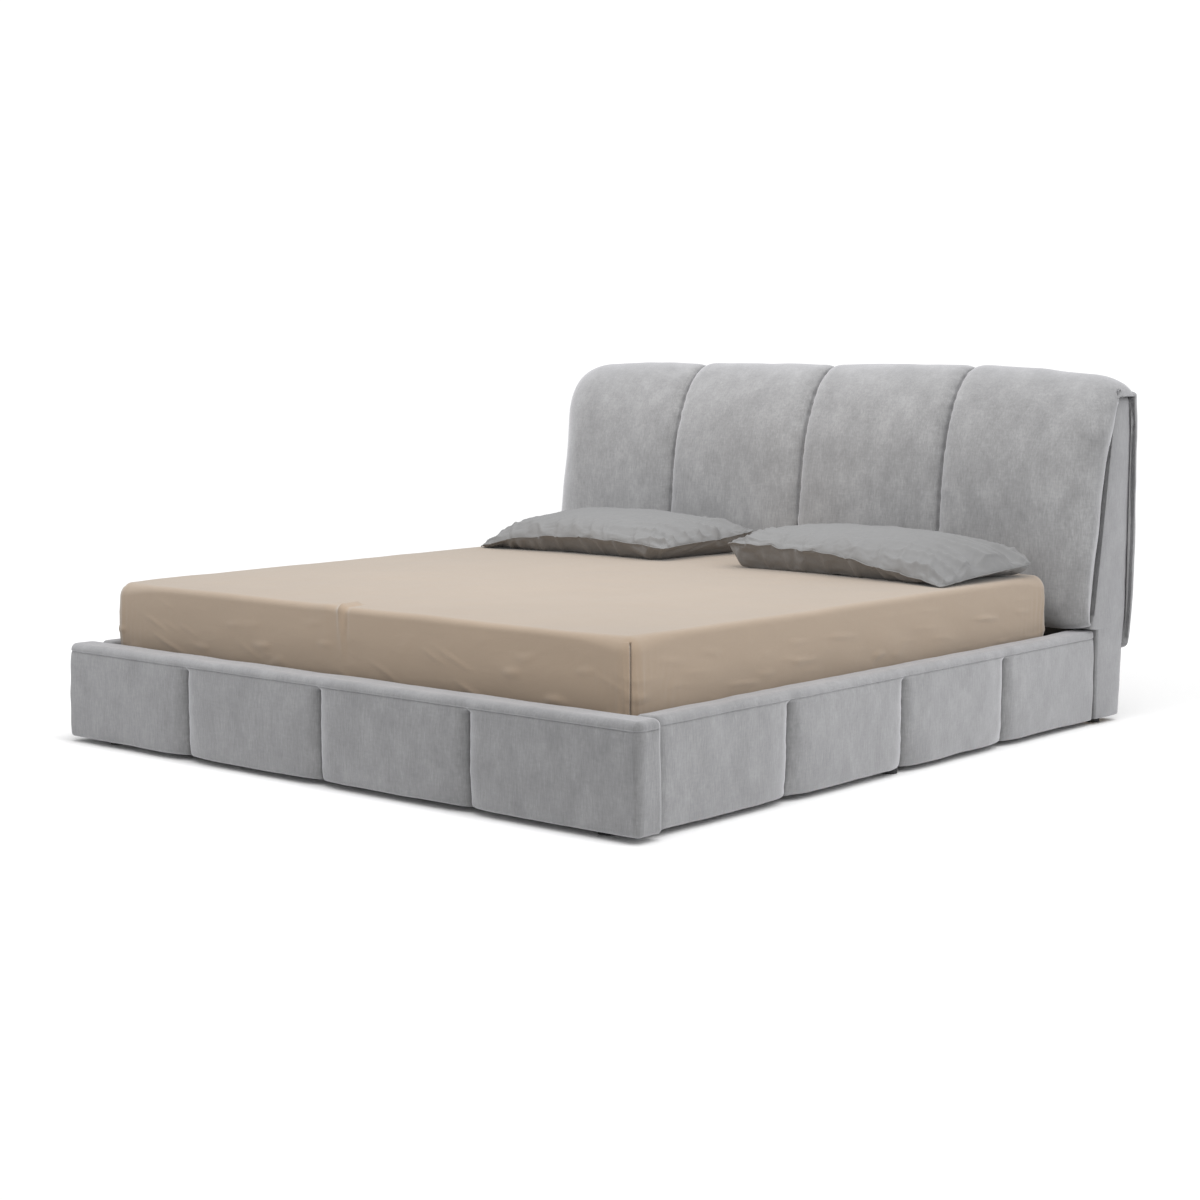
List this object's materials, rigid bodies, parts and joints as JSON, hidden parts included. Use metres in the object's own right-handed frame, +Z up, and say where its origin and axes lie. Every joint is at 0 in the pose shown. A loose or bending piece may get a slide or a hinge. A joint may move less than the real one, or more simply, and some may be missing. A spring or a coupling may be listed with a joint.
{
  "type": "upholstered bed",
  "caption": "Low king-size bed with padded channelled rails, a leaning padded headboard, a slatted base, a mattress in a fitted sheet and loose pillows.",
  "frame": {"origin": "on the floor, at the middle of the bed's footprint", "axes": "+X across the bed towards the right-hand side seen from the foot, +Y from the foot towards the headboard, +Z up"},
  "size_m": [2.2, 2.45, 1.11],
  "materials": {
    "upholstery": "matte",
    "sheet": "matte",
    "pillowcase": "matte",
    "ticking": "matte",
    "pine": "satin",
    "birch_plywood": "satin",
    "steel": "satin",
    "plastic": "matte"
  },
  "bodies": {
    "bed_frame": {"foot_rail_cover": "upholstery", "foot_rail_board": "pine", "side_rail_left_cover": "upholstery", "side_rail_left_board": "pine", "side_rail_right_cover": "upholstery", "side_rail_right_board": "pine", "headboard_cover": "upholstery", "headboard_cushion": "upholstery", "headboard_back_pad": "upholstery", "headboard_post_left": "pine", "headboard_post_right": "pine", "headboard_bottom_beam": "pine", "headboard_middle_beam": "pine", "headboard_top_beam": "pine", "headboard_front_board": "birch_plywood", "slat_bearer_left": "pine", "slat_bearer_right": "pine", "centre_beam": "pine", "slat_left_01": "birch_plywood", "slat_left_02": "birch_plywood", "slat_left_03": "birch_plywood", "slat_left_04": "birch_plywood", "slat_left_05": "birch_plywood", "slat_left_06": "birch_plywood", "slat_left_07": "birch_plywood", "slat_left_08": "birch_plywood", "slat_left_09": "birch_plywood", "slat_left_10": "birch_plywood", "slat_left_11": "birch_plywood", "slat_right_01": "birch_plywood", "slat_right_02": "birch_plywood", "slat_right_03": "birch_plywood", "slat_right_04": "birch_plywood", "slat_right_05": "birch_plywood", "slat_right_06": "birch_plywood", "slat_right_07": "birch_plywood", "slat_right_08": "birch_plywood", "slat_right_09": "birch_plywood", "slat_right_10": "birch_plywood", "slat_right_11": "birch_plywood", "centre_leg_1": "plastic", "centre_leg_2": "plastic", "centre_leg_3": "plastic", "beam_hanger_foot": "steel", "beam_hanger_head": "steel", "corner_bracket_foot_left": "steel", "corner_bracket_foot_right": "steel", "corner_bracket_head_left": "steel", "corner_bracket_head_right": "steel", "foot_front_left": "plastic", "foot_front_right": "plastic", "foot_middle_left": "plastic", "foot_middle_right": "plastic", "foot_rear_left": "plastic", "foot_rear_right": "plastic"},
    "mattress": {"mattress": "ticking", "fitted_sheet": "sheet"},
    "pillow_left": {"pillow_left": "pillowcase"},
    "pillow_right": {"pillow_right": "pillowcase"}
  },
  "joints": [
    {"name": "mattress_lift", "type": "slide", "parent": "bed_frame", "child": "mattress", "axis": [0, 0, 1], "range_m": [0, 0.6]},
    {"name": "pillow_left_lift", "type": "slide", "parent": "mattress", "child": "pillow_left", "axis": [0, 0, 1], "range_m": [0, 0.35]},
    {"name": "pillow_right_lift", "type": "slide", "parent": "mattress", "child": "pillow_right", "axis": [0, 0, 1], "range_m": [0, 0.35]}
  ]
}
